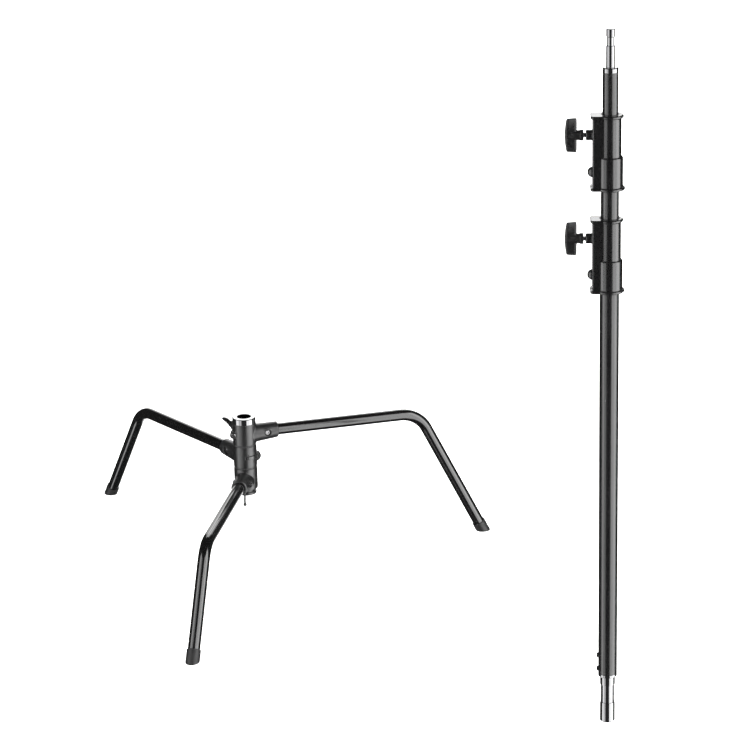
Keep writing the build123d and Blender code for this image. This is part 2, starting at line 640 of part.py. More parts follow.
def latch_lever(tab_reach):
    """A curved lever about z = 0, pivoted at azimuth 0, with its nose and tab LATCH_SPAN further on."""
    eye = Pos(LATCH_PIN_REACH, 0) * Circle(LATCH_EYE_R)
    strip = band(*LATCH_BAND, LATCH_BAND_START, LATCH_SPAN)
    nose = Rot(0, 0, LATCH_SPAN - LATCH_NOSE_BACK) * Pos(LATCH_NOSE_REACH, 0) * Rectangle(*LATCH_NOSE)
    arm = Rectangle(tab_reach - LATCH_ARM_START, LATCH_ARM_WIDTH)
    arm = Rot(0, 0, LATCH_SPAN) * Pos((LATCH_ARM_START + tab_reach) / 2, 0) * arm
    outline = eye + strip + nose + arm - Pos(LATCH_PIN_REACH, 0) * Circle(LATCH_PIN_R + RUNNING_GAP)
    return extrude(outline, LATCH_THICKNESS / 2, both=True)


def latch_thumb_tab():
    """The upright rounded tab on the left lever's end, outside the casting."""
    tab = Rot(90, 0, 0) * Cylinder(LATCH_TAB_R, LATCH_TAB_THICKNESS)
    keep = Pos(LATCH_TAB_START - LATCH_TAB_CENTRE, 0, 0) * Box(
        2 * LATCH_TAB_R, 2 * LATCH_TAB_R, 4 * LATCH_TAB_R, align=(Align.MIN, Align.CENTER, Align.CENTER)
    )
    return Rot(0, 0, LATCH_SPAN) * Pos(LATCH_TAB_CENTRE, 0, 0) * (tab & keep)


def latch_horn():
    """The front lever's curved tail with its ball, below the lever's tab."""
    tail = ThreePointArc(*HORN_PATH)
    bar = sweep(Plane(origin=tail @ 0, z_dir=tail % 0) * Circle(HORN_R), path=tail)
    ball = Pos(*HORN_BALL) * Sphere(HORN_BALL_R)
    return Rot(0, 0, LATCH_SPAN) * (bar + ball)


def latch_pin(low, high):
    """The upright pin a lever turns on, about z = 0."""
    return Pos(LATCH_PIN_REACH, 0, 0) * disc(LATCH_PIN_R, low, high)


def latch_spring():
    """The torsion coil round the latch pin, above the lever."""
    coil = Helix(pitch=SPRING_PITCH, height=SPRING_HEIGHT, radius=SPRING_R)
    section = Plane(origin=coil @ 0, z_dir=coil % 0) * Circle(SPRING_WIRE_R)
    wire = sweep(section, path=coil, is_frenet=True)
    return Pos(LATCH_PIN_REACH, 0, LATCH_THICKNESS / 2 + SPRING_LIFT) * wire


def latch_pocket(low, high):
    """What a casting loses for the latch pin and its spring."""
    pin = Pos(LATCH_PIN_REACH, 0, 0) * disc(LATCH_PIN_R, low, high)
    floor = LATCH_THICKNESS / 2
    spring = Pos(LATCH_PIN_REACH, 0, 0) * disc(SPRING_POCKET_R, floor, floor + SPRING_POCKET_HEIGHT)
    return pin + spring


def middle_leg_casting():
    """The left leg's casting, slotted for its latch lever."""
    height = LEG_HEIGHT["left"]
    casting = turned(leg_casting(height, POST_R + RUNNING_GAP, LEG_SIDE["left"]), LEG_AZIMUTH["left"])
    half = LATCH_THICKNESS / 2 + LATCH_GAP
    slot = band(*LATCH_SLOT, -LATCH_SLOT_BEFORE, LATCH_SPAN + LATCH_SLOT_AFTER)
    cuts = extrude(slot, half, both=True) + latch_pocket(*LATCH_PIN_ENDS["left"])
    return casting - turned(Pos(0, 0, LATCH_HEIGHT["left"]) * cuts, LATCH_PIVOT_AZIMUTH["left"])


def lower_leg_casting():
    """The front leg's casting, drilled from below for its latch pin."""
    height = LEG_HEIGHT["front"]
    casting = turned(leg_casting(height, POST_R + RUNNING_GAP, LEG_SIDE["front"]), LEG_AZIMUTH["front"])
    cuts = latch_pocket(0.0, LATCH_PIN_ENDS["front"][1])
    return casting - turned(Pos(0, 0, LATCH_HEIGHT["front"]) * cuts, LATCH_PIVOT_AZIMUTH["front"])


def build_latches():
    """The two turning castings with their latch levers, pins and springs."""
    save("middle_leg_casting", at_hub(middle_leg_casting()))
    save("lower_leg_casting", at_hub(lower_leg_casting()))

    def place(shape, name):
        return at_hub(turned(Pos(0, 0, LATCH_HEIGHT[name]) * shape, LATCH_PIVOT_AZIMUTH[name]))

    for name, grip in {"left": latch_thumb_tab, "front": latch_horn}.items():
        save(f"{name}_leg_latch", place(latch_lever(LATCH_ARM_END[name]) + grip(), name))
        save(f"{name}_latch_pin", place(latch_pin(*LATCH_PIN_ENDS[name]), name))
        save(f"{name}_latch_spring", place(latch_spring(), name))


# ---------------------------------------------------------------- column tubes
def spigot():
    """The bright foot of the column: a grooved spigot with a lip and a plug inside the tube."""
    low, high = SPIGOT_GROOVE
    foot = disc(SPIGOT_R, 0, low)
    foot = chamfer(foot.edges().filter_by(GeomType.CIRCLE).sort_by(Axis.Z)[0], BROAD_CHAMFER)
    groove = disc(SPIGOT_GROOVE_R, low - OVERCUT, high + OVERCUT)
    upper = disc(SPIGOT_R, high, SPIGOT_LENGTH)
    lip = disc(BOTTOM_TUBE_R, SPIGOT_LENGTH, SPIGOT_LENGTH + SPIGOT_LIP)
    lip = chamfer(lip.edges().filter_by(GeomType.CIRCLE).sort_by(Axis.Z)[0], LIP_CHAMFER)
    plug_top = SPIGOT_LENGTH + SPIGOT_LIP + SPIGOT_PLUG
    plug = disc(BOTTOM_TUBE_R - BOTTOM_TUBE_WALL, SPIGOT_LENGTH, plug_top)
    body = foot + groove + upper + lip + plug
    for height in SPIGOT_SCREW_HEIGHTS:
        body -= to_left(rod(SPIGOT_SCREW_R, SPIGOT_SCREW_HOLE, 2 * BOTTOM_TUBE_R, height))
    return body


def spigot_screw(height):
    """A pan-head screw on the column's left side that holds the spigot in the tube."""
    face = BOTTOM_TUBE_R + SPIGOT_SCREW_HEAD
    shank = rod(SPIGOT_SCREW_R, SPIGOT_SCREW_START, BOTTOM_TUBE_R + OVERCUT, height)
    head = rod(SPIGOT_SCREW_HEAD_R, BOTTOM_TUBE_R - 2 * OVERCUT, face, height)
    head -= disc(BOTTOM_TUBE_R, 0, 2 * height)
    head = chamfer(head.edges().filter_by(GeomType.CIRCLE).sort_by(Axis.X)[-1], SPIGOT_SCREW_HEAD_CHAMFER)
    key = Pos(face, 0, height) * Rot(0, -90, 0) * hex_key(SPIGOT_SCREW_KEY, SPIGOT_SCREW_KEY_DEPTH)
    return to_left(head + shank - key)


def bottom_tube():
    """The widest tube, from the spigot's lip up into the lower collar."""
    low = SPIGOT_LENGTH + SPIGOT_LIP
    high = COLLAR_BOTTOM["lower"] + COLLAR_STEP + TUBE_STOP
    tube = ring(BOTTOM_TUBE_R, BOTTOM_TUBE_R - BOTTOM_TUBE_WALL, low, high)
    for height in SPIGOT_SCREW_HEIGHTS:
        tube -= to_left(rod(SPIGOT_SCREW_R, SPIGOT_SCREW_HOLE, 2 * BOTTOM_TUBE_R, height))
    return tube


def riser_tube(outer, wall, low, high):
    """A riser's plain tube, given by its outer radius and wall."""
    return ring(outer, outer - wall, low, high)


def riser_guide(riser_r, wall, bore_r, low):
    """The plastic plug at a riser's lower end that keeps it central in the tube round it."""
    rim = disc(bore_r - RUNNING_GAP, low - GUIDE_HEIGHT, low)
    rim = chamfer(rim.edges().filter_by(GeomType.CIRCLE), GUIDE_CHAMFER)
    plug = disc(riser_r - wall, low - OVERCUT, low + GUIDE_PLUG)
    hollow = disc(riser_r - wall - GUIDE_WALL, low - GUIDE_HEIGHT - OVERCUT, low + GUIDE_PLUG + OVERCUT)
    return rim + plug - hollow


def rivet_rod():
    """The rivet's axis as a round bar out through the top tube's wall."""
    height = TOP_TUBE_TOP - PIN_RIVET_DROP
    return Rot(0, 0, PIN_RIVET_AZIMUTH) * rod(PIN_RIVET_R, PIN_RIVET_START, 2 * TOP_TUBE_R, height)


def baby_pin():
    """The bright 5/8 inch mounting pin with its shoulder, waist and head."""
    shoulder_top = TOP_TUBE_TOP + PIN_SHOULDER
    main_top = shoulder_top + PIN_MAIN
    neck_top = main_top + PIN_NECK
    head_top = neck_top + PIN_HEAD
    shoulder = disc(PIN_SHOULDER_R, TOP_TUBE_TOP, shoulder_top)
    shoulder = chamfer(shoulder.edges().filter_by(GeomType.CIRCLE).sort_by(Axis.Z)[-1], BROAD_CHAMFER)
    main = disc(PIN_R, shoulder_top - OVERCUT, main_top)
    main = chamfer(main.edges().filter_by(GeomType.CIRCLE).sort_by(Axis.Z)[-1], FINE_CHAMFER)
    neck = disc(PIN_NECK_R, main_top - OVERCUT, neck_top + OVERCUT)
    head = disc(PIN_R, neck_top, head_top)
    head = chamfer(head.edges().filter_by(GeomType.CIRCLE), SMALL_CHAMFER)
    plug = disc(TOP_TUBE_R - TOP_TUBE_WALL, TOP_TUBE_TOP - PIN_PLUG, TOP_TUBE_TOP)
    return shoulder + main + neck + head + plug - rivet_rod()


def pin_rivet():
    """The small flush rivet that holds the pin's plug in the top tube."""
    return rivet_rod() & disc(TOP_TUBE_R, TOP_TUBE_BOTTOM, TOP_TUBE_TOP)


def build_column():
    """The tubes, spigot, pin and guides; the collars come from their own function."""
    upper_step = COLLAR_BOTTOM["upper"] + COLLAR_STEP
    bottom_bore = BOTTOM_TUBE_R - BOTTOM_TUBE_WALL
    middle_bore = MIDDLE_TUBE_R - MIDDLE_TUBE_WALL
    save("spigot", at_column(spigot()))
    save("spigot_screws", *[at_column(spigot_screw(height)) for height in SPIGOT_SCREW_HEIGHTS])
    save("bottom_tube", at_column(bottom_tube()))
    middle = riser_tube(MIDDLE_TUBE_R, MIDDLE_TUBE_WALL, MIDDLE_TUBE_BOTTOM, upper_step + TUBE_STOP)
    save("middle_tube", at_column(middle))
    middle_guide = riser_guide(MIDDLE_TUBE_R, MIDDLE_TUBE_WALL, bottom_bore, MIDDLE_TUBE_BOTTOM)
    save("middle_tube_guide", at_column(middle_guide))
    top = riser_tube(TOP_TUBE_R, TOP_TUBE_WALL, TOP_TUBE_BOTTOM, TOP_TUBE_TOP)
    save("top_tube", at_column(top - rivet_rod()))
    top_guide = riser_guide(TOP_TUBE_R, TOP_TUBE_WALL, middle_bore, TOP_TUBE_BOTTOM)
    save("top_tube_guide", at_column(top_guide))
    save("baby_pin", at_column(baby_pin()))
    save("pin_rivet", at_column(pin_rivet()))
    build_clamped_collar("lower", BOTTOM_TUBE_R, MIDDLE_TUBE_R)
    build_clamped_collar("upper", MIDDLE_TUBE_R, TOP_TUBE_R)


# ---------------------------------------------------------------- the whole stand
build_hub()
build_latches()
for leg in LEG_HEIGHT:
    build_leg(leg)
build_column()
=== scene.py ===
import json
from math import cos, pi, radians, sin, tan

import bpy
from mathutils import Matrix, Vector


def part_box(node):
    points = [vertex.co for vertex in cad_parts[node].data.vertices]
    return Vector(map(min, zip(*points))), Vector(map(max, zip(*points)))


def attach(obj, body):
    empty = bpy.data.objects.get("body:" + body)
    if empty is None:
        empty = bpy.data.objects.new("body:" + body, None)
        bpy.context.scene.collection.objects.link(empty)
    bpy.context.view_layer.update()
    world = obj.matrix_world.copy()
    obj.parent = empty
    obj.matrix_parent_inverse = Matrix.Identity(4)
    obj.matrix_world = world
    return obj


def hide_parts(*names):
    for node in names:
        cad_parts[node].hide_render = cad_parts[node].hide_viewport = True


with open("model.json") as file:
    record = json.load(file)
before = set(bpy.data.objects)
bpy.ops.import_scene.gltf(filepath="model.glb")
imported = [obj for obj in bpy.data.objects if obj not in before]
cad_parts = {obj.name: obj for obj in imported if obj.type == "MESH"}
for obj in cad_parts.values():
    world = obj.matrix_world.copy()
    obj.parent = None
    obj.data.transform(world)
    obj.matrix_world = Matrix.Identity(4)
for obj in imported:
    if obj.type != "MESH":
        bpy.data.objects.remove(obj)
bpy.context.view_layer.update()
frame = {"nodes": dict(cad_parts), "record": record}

# The stand shown taken apart: the folding leg base on the left and the column beside it.
# Everything is in metres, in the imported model's own frame, with the floor at z = 0.

MM = 0.001

# ---------------------------------------------------------------- driving sizes
LEG_NAMES = ("right", "left", "front")
LEG_R = 12.5 * MM
LEG_START = 27 * MM
LEG_END_SETBACK = 6
BEND_REACH = 385 * MM
BEND_R = 65 * MM
BEND_STEPS = 28

TUBE_WALLS = (("bottom_tube", 1.0), ("middle_tube", 1.2), ("top_tube", 1.5))
TUBE_LIP = 0.35 * MM

# T-handles: how deep the wing is, its half thickness, the hub's radius and the outer edge's bow
KNOB_WING_DEPTH = 21.5 * MM
KNOB_THICKNESS_SHARE = 0.56
KNOB_HUB_R = 10 * MM
KNOB_BOW = 3 * MM
HANDLE_SIZE = (12.5 * MM, 45.5 * MM, 4.4 * MM, 8 * MM, 2 * MM)
SOCKET_HANDLE_LEAN = 40.0
HANDLE_VOXEL = 0.42 * MM
HANDLE_PASSES = 7
HUB_SEGMENTS = 72

WING_STATIONS = 33
WING_CORNER = 0.42
WING_CORNER_STEPS = 5
WING_END_POWER = 14
WING_END_SHARE = 0.55
WING_TAPER = 0.22
WING_TWIST = 14
WING_LEAN = 2.6 * MM

# voxel size and smoothing passes of the softened castings, collars and feet
CASTING_SOFTENING = (0.7 * MM, 5)
COLLAR_SOFTENING = (0.6 * MM, 4)
FOOT_SOFTENING = (0.45 * MM, 4)
SOFTENED_SHARP = 60.0

# name, azimuth from the camera's side towards the column's, width and radiance
SOFTBOXES = (
    ("left_softbox", -66, 2.7, 1.30),
    ("left_near_softbox", -36, 2.0, 0.70),
    ("right_near_softbox", 43, 2.6, 1.50),
    ("right_softbox", 74, 2.9, 2.10),
    ("rear_left_softbox", -166, 1.4, 0.9),
    ("rear_softbox", 180, 2.0, 1.3),
    ("rear_right_softbox", 166, 1.4, 0.9),
)
SOFTBOX_DISTANCE = 5.0
SOFTBOX_HEIGHT = 12.0
WORLD_STRENGTH = 0.03

SWEEP_RADIUS = 24.0
SWEEP_BEND = 8.0
SWEEP_TOP = 26.0
SWEEP_FLOOR_RINGS = (0, 6, 12)
SWEEP_BEND_STEPS = 12
SWEEP_GLOW = 1.0

CAMERA_PLACE = (0.283, -5.302, 2.291)
CAMERA_PITCH = 17.25
CAMERA_YAW = 0.78
CAMERA_ROLL = 0.86
CAMERA_LENS = 135.3
CAMERA_SENSOR = 36.0
CAMERA_SHIFT = (-0.0902, -0.0902)
CAMERA_CLIP_END = 100

RECORD = frame["record"]
BODY_OF = {node: body for body, nodes in RECORD["behaviour"]["bodies"].items() for node in nodes}
SLOT_OF = {part["node"]: part["material_slot"] for part in RECORD["subparts"]}
MOUNTS = {mount["name"]: Vector(mount["pos_m"]) for mount in RECORD["mounts"]}


def middle(node):
    """The centre of a CAD node's box."""
    low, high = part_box(node)
    return (low + high) / 2


HUB = Vector((middle("centre_tube").x, middle("centre_tube").y, 0))
COLUMN = Vector((middle("bottom_tube").x, middle("bottom_tube").y, 0))
UP = Vector((0, 0, 1))


# ---------------------------------------------------------------- meshes
def add_object(name, verts, faces, sharp=38.0):
    """A new mesh object with smooth faces and its edges kept sharp above an angle."""
    mesh = bpy.data.meshes.new(name)
    mesh.from_pydata([tuple(v) for v in verts], [], faces)
    mesh.validate()
    mesh.shade_smooth()
    mesh.set_sharp_from_angle(angle=radians(sharp))
    obj = bpy.data.objects.new(name, mesh)
    bpy.context.scene.collection.objects.link(obj)
    return obj


def stand_for(piece, node, also=()):
    """The piece rides with a CAD node's body, hides the node and takes its material."""
    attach(piece, BODY_OF[node])
    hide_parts(node, *also)
    piece.data.materials.clear()
    piece.data.materials.append(MATERIALS[SLOT_OF[node]])
    return piece


def rounded(points, radius, steps=4):
    """A polyline with its inner corners rounded; radius is one number or one for each point."""
    radii = radius if isinstance(radius, (list, tuple)) else [radius] * len(points)
    points = [Vector(p).to_2d() for p in points]
    out = [points[0]]
    for before, here, after, r in zip(points, points[1:], points[2:], radii[1:-1]):
        back, ahead = before - here, after - here
        reach = min(r, 0.45 * back.length, 0.45 * ahead.length)
        if reach <= 0:
            out.append(here)
            continue
        start, end = here + back.normalized() * reach, here + ahead.normalized() * reach
        for i in range(steps + 1):
            t = i / steps
            out.append(start * (1 - t) ** 2 + here * 2 * t * (1 - t) + end * t * t)
    out.append(points[-1])
    return out


def basis(axis):
    """Two unit vectors at right angles to an axis."""
    axis = Vector(axis).normalized()
    side = axis.orthogonal().normalized()
    return side, axis.cross(side)


def lathe(name, profile, origin, axis=UP, segments=96, closed=False):
    """A solid of revolution: profile is (along, radius) from the origin along the axis."""
    origin, axis = Vector(origin), Vector(axis).normalized()
    u, v = basis(axis)
    verts, rings = [], []
    for along, radius in profile:
        centre = origin + axis * along
        if radius < 1e-7:
            rings.append([len(verts)])
            verts.append(centre)
            continue
        rings.append(list(range(len(verts), len(verts) + segments)))
        for i in range(segments):
            angle = 2 * pi * i / segments
            verts.append(centre + (u * cos(angle) + v * sin(angle)) * radius)
    faces = []
    pairs = list(zip(rings, rings[1:] + ([rings[0]] if closed else [])))
    for low, high in pairs[: len(rings) if closed else len(rings) - 1]:
        for i in range(segments):
            j = (i + 1) % segments
            if len(low) == 1 and len(high) == 1:
                continue
            if len(low) == 1:
                faces.append((low[0], high[j], high[i]))
            elif len(high) == 1:
                faces.append((low[i], low[j], high[0]))
            else:
                faces.append((low[i], low[j], high[j], high[i]))
    return add_object(name, verts, faces)


def pipe(name, low, high, outer, inner, origin, lip):
    """An upright tube with softened ends."""
    loop = [
        (low, (outer + inner) / 2), (low, outer), (high, outer),
        (high, inner), (low, inner), (low, (outer + inner) / 2),
    ]
    return lathe(name, rounded(loop, lip)[:-1], origin, closed=True, segments=128)


def swept(name, line, radius, segments=64):
    """A round bar along a list of points, with flat ends."""
    verts, faces = [], []
    tangents = [(b - a).normalized() for a, b in zip(line, line[1:])]
    joins = [(a + b).normalized() for a, b in zip(tangents, tangents[1:])]
    tangents = [tangents[0]] + joins + [tangents[-1]]
    u, _ = basis(tangents[0])
    for point, tangent in zip(line, tangents):
        u = (u - tangent * u.dot(tangent)).normalized()
        v = tangent.cross(u)
        for i in range(segments):
            angle = 2 * pi * i / segments
            verts.append(point + (u * cos(angle) + v * sin(angle)) * radius)
    for ring in range(len(line) - 1):
        for i in range(segments):
            j = (i + 1) % segments
            a, b = ring * segments, (ring + 1) * segments
            faces.append((a + i, a + j, b + j, b + i))
    faces.append(tuple(reversed(range(segments))))
    last = (len(line) - 1) * segments
    faces.append(tuple(range(last, last + segments)))
    return add_object(name, verts, faces, sharp=60)


def remeshed(obj, voxel, passes):
    """Fuses an object's shells by a voxel remesh and rounds its edges by smoothing."""
    remesh = obj.modifiers.new("remesh", "REMESH")
    remesh.mode = "VOXEL"
    remesh.voxel_size = voxel
    smooth = obj.modifiers.new("smooth", "SMOOTH")
    smooth.factor = 0.5
    smooth.iterations = passes
    graph = bpy.context.evaluated_depsgraph_get()
    mesh = bpy.data.meshes.new_from_object(obj.evaluated_get(graph))
    obj.modifiers.clear()
    old = obj.data
    obj.data = mesh
    bpy.data.meshes.remove(old)
    mesh.shade_smooth()
    mesh.set_sharp_from_angle(angle=radians(SOFTENED_SHARP))
    return obj


def softened(node, voxel, passes):
    """A copy of a CAD node with its edges and inner corners rounded, as a casting has."""
    copy = bpy.data.objects.new(f"{node}_cast", frame["nodes"][node].data.copy())
    bpy.context.scene.collection.objects.link(copy)
    return remeshed(copy, voxel, passes)


# ---------------------------------------------------------------- materials
class Graph:
    """A short way to write a material's node graph."""

    def __init__(self, name):
        self.material = bpy.data.materials.new(name)
        self.material.use_nodes = True
        self.tree = self.material.node_tree
        self.shader = self.tree.nodes["Principled BSDF"]

    def node(self, kind, **values):
        """A new node, with its inputs or properties set by name."""
        made = self.tree.nodes.new(kind)
        for key, value in values.items():
            if key in made.inputs:
                made.inputs[key].default_value = value
            else:
                setattr(made, key, value)
        return made

    def link(self, source, target):
        self.tree.links.new(source, target)

    def place(self, scale=(1, 1, 1)):
        """Object coordinates, stretched by a scale."""
        coords = self.node("ShaderNodeTexCoord")
        mapping = self.node("ShaderNodeMapping")
        mapping.inputs["Scale"].default_value = scale
        self.link(coords.outputs["Object"], mapping.inputs["Vector"])
        return mapping.outputs["Vector"]

    def noise(self, scale, detail=2.0, roughness=0.5, stretch=(1, 1, 1)):
        made = self.node("ShaderNodeTexNoise", Scale=scale, Detail=detail, Roughness=roughness)
        self.link(self.place(stretch), made.inputs["Vector"])
        return made.outputs["Fac"]

    def ramp(self, value, low, high, colour_a, colour_b):
        """Blends two colours between two values."""
        made = self.node("ShaderNodeValToRGB")
        made.color_ramp.elements[0].position = low
        made.color_ramp.elements[1].position = high
        made.color_ramp.elements[0].color = (*colour_a, 1)
        made.color_ramp.elements[1].color = (*colour_b, 1)
        self.link(value, made.inputs["Fac"])
        return made.outputs["Color"]

    def spread(self, value, low, high):
        """Maps a 0 to 1 value to a range."""
        made = self.node("ShaderNodeMapRange")
        made.inputs["From Min"].default_value = 0.25
        made.inputs["From Max"].default_value = 0.75
        made.inputs["To Min"].default_value = low
        made.inputs["To Max"].default_value = high
        self.link(value, made.inputs["Value"])
        return made.outputs["Result"]

    def bump(self, height, distance, strength=1.0, under=None):
        made = self.node("ShaderNodeBump", Strength=strength, Distance=distance)
        self.link(height, made.inputs["Height"])
        if under is not None:
            self.link(under, made.inputs["Normal"])
        return made.outputs["Normal"]

    def set(self, **values):
        names = {"metallic": "Metallic", "coat": "Coat Weight", "coat_rough": "Coat Roughness",
                 "specular": "Specular IOR Level", "ior": "IOR"}
        for key, value in values.items():
            self.shader.inputs[names[key]].default_value = value


def paint(name, dark, light, rough, peel, coat):
    """Sprayed or powder-coated black paint: fine orange peel, faint cloudiness and rubbed patches."""
    g = Graph(name)
    cloud = g.noise(14.0, 4.0, 0.6)
    g.link(g.ramp(cloud, 0.35, 0.7, dark, light), g.shader.inputs["Base Color"])
    rub = g.noise(55.0, 5.0, 0.65, (1, 1, 0.25))
    g.link(g.spread(rub, rough[0], rough[1]), g.shader.inputs["Roughness"])
    fine = g.bump(g.noise(peel[0], 2.0, 0.5), peel[1] * MM, 1.0)
    broad = g.bump(g.noise(peel[0] * 0.22, 1.0, 0.4), peel[1] * 2.2 * MM, 0.5, fine)
    g.link(broad, g.shader.inputs["Normal"])
    g.set(coat=coat, coat_rough=0.12, specular=0.5, ior=2.3)
    return g.material


def bright_metal(name, tone, rough, turning):
    """Turned and chromed steel: rings left by the lathe and faint handling haze."""
    g = Graph(name)
    haze = g.noise(38.0, 4.0, 0.6)
    soft = tuple(t * 0.9 for t in tone)
    g.link(g.ramp(haze, 0.3, 0.75, soft, tone), g.shader.inputs["Base Color"])
    rub = g.noise(90.0, 5.0, 0.7, (1, 1, 6))
    g.link(g.spread(rub, rough[0], rough[1]), g.shader.inputs["Roughness"])
    rings = g.noise(1200.0, 2.0, 0.6, (0.02, 0.02, 1))
    g.link(g.bump(rings, turning * MM, 1.0), g.shader.inputs["Normal"])
    g.set(metallic=1.0)
    return g.material


def moulded(name, dark, light, rough):
    """Moulded black plastic with a fine sparked texture."""
    g = Graph(name)
    g.link(g.ramp(g.noise(30.0, 4.0, 0.6), 0.3, 0.7, dark, light), g.shader.inputs["Base Color"])
    g.link(g.spread(g.noise(120.0, 4.0, 0.6), rough[0], rough[1]), g.shader.inputs["Roughness"])
    g.link(g.bump(g.noise(2600.0, 2.0, 0.6), 0.02 * MM, 1.0), g.shader.inputs["Normal"])
    g.set(specular=0.45, ior=1.9)
    return g.material


def black(level):
    """A black with a trace of blue."""
    return (level, level, level * 1.03)


# dark and light tone, roughness range, orange peel's scale and depth in mm, clear coat
PAINTS = {
    "column_tube_paint": (0.0030, 0.0046, (0.20, 0.28), (1500.0, 0.010), 0.0),
    "leg_paint": (0.0018, 0.0030, (0.08, 0.14), (1100.0, 0.006), 0.5),
    "hub_paint": (0.0050, 0.0085, (0.30, 0.40), (1900.0, 0.022), 0.0),
    "collar_paint": (0.0026, 0.0042, (0.18, 0.26), (1700.0, 0.010), 0.3),
    "latch_black": (0.004, 0.007, (0.22, 0.32), (1700.0, 0.010), 0.0),
    "black_fasteners": (0.0035, 0.006, (0.20, 0.30), (2600.0, 0.004), 0.0),
}
# tone, roughness range, depth of the turning marks in mm
METALS = {
    "chrome_steel": ((0.62, 0.62, 0.63), (0.04, 0.09), 0.004),
    "bright_fasteners": ((0.74, 0.74, 0.75), (0.12, 0.22), 0.003),
    "clamp_steel": ((0.42, 0.42, 0.43), (0.22, 0.34), 0.004),
    "spring_steel": ((0.5, 0.5, 0.5), (0.25, 0.35), 0.004),
}
# dark and light tone, roughness range
PLASTICS = {
    "knob_black": (0.0035, 0.006, (0.24, 0.34)),
    "foot_plastic": (0.006, 0.010, (0.42, 0.56)),
    "slider_plastic": (0.03, 0.04, (0.40, 0.52)),
}


def make_materials():
    """Every material slot's finish, by its name."""
    made = {}
    for name, (dark, light, rough, peel, coat) in PAINTS.items():
        made[name] = paint(name, black(dark), black(light), rough, peel, coat)
    for name, (tone, rough, turning) in METALS.items():
        made[name] = bright_metal(name, tone, rough, turning)
    for name, (dark, light, rough) in PLASTICS.items():
        made[name] = moulded(name, black(dark), black(light), rough)
    return made


MATERIALS = make_materials()


# ---------------------------------------------------------------- carried-over CAD nodes
def dress_nodes():
    """Every CAD node gets its finish; those with a finer piece are hidden later."""
    for node, obj in frame["nodes"].items():
        for index in range(len(obj.material_slots)):
            obj.material_slots[index].material = MATERIALS[SLOT_OF[node]]


# ---------------------------------------------------------------- column
def column_tubes():
    """The three telescoping tubes."""
    for node, wall in TUBE_WALLS:
        low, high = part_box(node)
        outer = (high.x - low.x) / 2
        tube = pipe(f"{node}_drawn", low.z, high.z, outer, outer - wall * MM, COLUMN, TUBE_LIP)
        stand_for(tube, node)


def wing_section(depth_in, depth_out, half):
    """A rounded rectangle across a wing: (outwards, sideways) points, anticlockwise."""
    radius = WING_CORNER * 2 * half
    corners = [
        (depth_in, -half, -pi), (depth_out, -half, -pi / 2),
        (depth_out, half, 0), (depth_in, half, pi / 2),
    ]
    points = []
    for out, side, start in corners:
        centre_out = out + (radius if out == depth_in else -radius)
        centre_side = side + (radius if side < 0 else -radius)
        for i in range(WING_CORNER_STEPS + 1):
            angle = start + pi / 2 * i / WING_CORNER_STEPS
            points.append((centre_out + radius * cos(angle), centre_side + radius * sin(angle)))
    return points


def t_wing(name, place, inner, outer, half_span, half_thick, bow):
    """The bowed and slightly S-curved wing of a T-handle; place maps (out, side, up) to the model."""
    verts, faces, count = [], [], 0
    for k in range(WING_STATIONS):
        t = -1 + 2 * k / (WING_STATIONS - 1)
        end_round = (1 - abs(t) ** WING_END_POWER) ** 0.5 if abs(t) < 1 else 0.0
        shrink = WING_END_SHARE + (1 - WING_END_SHARE) * end_round
        half = half_thick * (1 - WING_TAPER * t * t) * shrink
        middle_out = (inner + outer) / 2 - bow * t * t * 0.5
        reach = ((outer - inner) / 2 - bow * t * t * 0.5) * (0.9 + 0.1 * end_round)
        section = wing_section(-reach, reach, half)
        twist = radians(WING_TWIST) * t
        lean = WING_LEAN * t * abs(t)
        count = len(section)
        for out, side in section:
            turned_out = out * cos(twist) - side * sin(twist)
            turned_side = out * sin(twist) + side * cos(twist)
            verts.append(place(middle_out + turned_out, turned_side + lean, half_span * t))
    for k in range(WING_STATIONS - 1):
        for i in range(count):
            j = (i + 1) % count
            a, b = k * count, (k + 1) * count
            faces.append((a + i, a + j, b + j, b + i))
    faces.append(tuple(reversed(range(count))))
    faces.append(tuple(range((WING_STATIONS - 1) * count, WING_STATIONS * count)))
    return add_object(name, verts, faces)


def t_handle(node, origin, out, up, start, end, size):
    """A moulded T-handle: a hub cone and a wing, fused and smoothed into one piece."""
    origin, out, up = Vector(origin), Vector(out).normalized(), Vector(up).normalized()
    side = up.cross(out)

    def place(a, b, c):
        return origin + out * a + side * b + up * c

    depth, span, half_thick, hub_r, bow = size
    wing = t_wing(f"{node}_wing", place, end - depth, end, span / 2, half_thick, bow)
    ring_groove = start + 0.16 * (end - start)
    cone = [
        (start, hub_r), (ring_groove, hub_r), (ring_groove + 0.6 * MM, hub_r - 0.7 * MM),
        (start + 0.5 * (end - start), 0.84 * hub_r), (end - 3 * MM, 0.5 * hub_r),
        (end - 0.4 * MM, 0.2 * hub_r),
    ]
    # closed at both ends, so that the fused piece is solid round its screw
    profile = [(start, 0)] + rounded(cone, 0.8 * MM) + [(end - 0.2 * MM, 0)]
    hub = lathe(f"{node}_hub", profile, origin, out, HUB_SEGMENTS)
    bpy.ops.object.select_all(action="DESELECT")
    for part in (wing, hub):
        part.select_set(True)
    bpy.context.view_layer.objects.active = hub
    bpy.ops.object.join()
    hub.name = f"{node}_moulded"
    return stand_for(remeshed(hub, HANDLE_VOXEL, HANDLE_PASSES), node)


def box_along(node, origin, out):
    """How far a node's box starts and ends from an origin along a level direction."""
    points = [frame["nodes"][node].matrix_world @ v.co for v in frame["nodes"][node].data.vertices]
    reach = [(p - origin).dot(out) for p in points]
    return min(reach), max(reach)


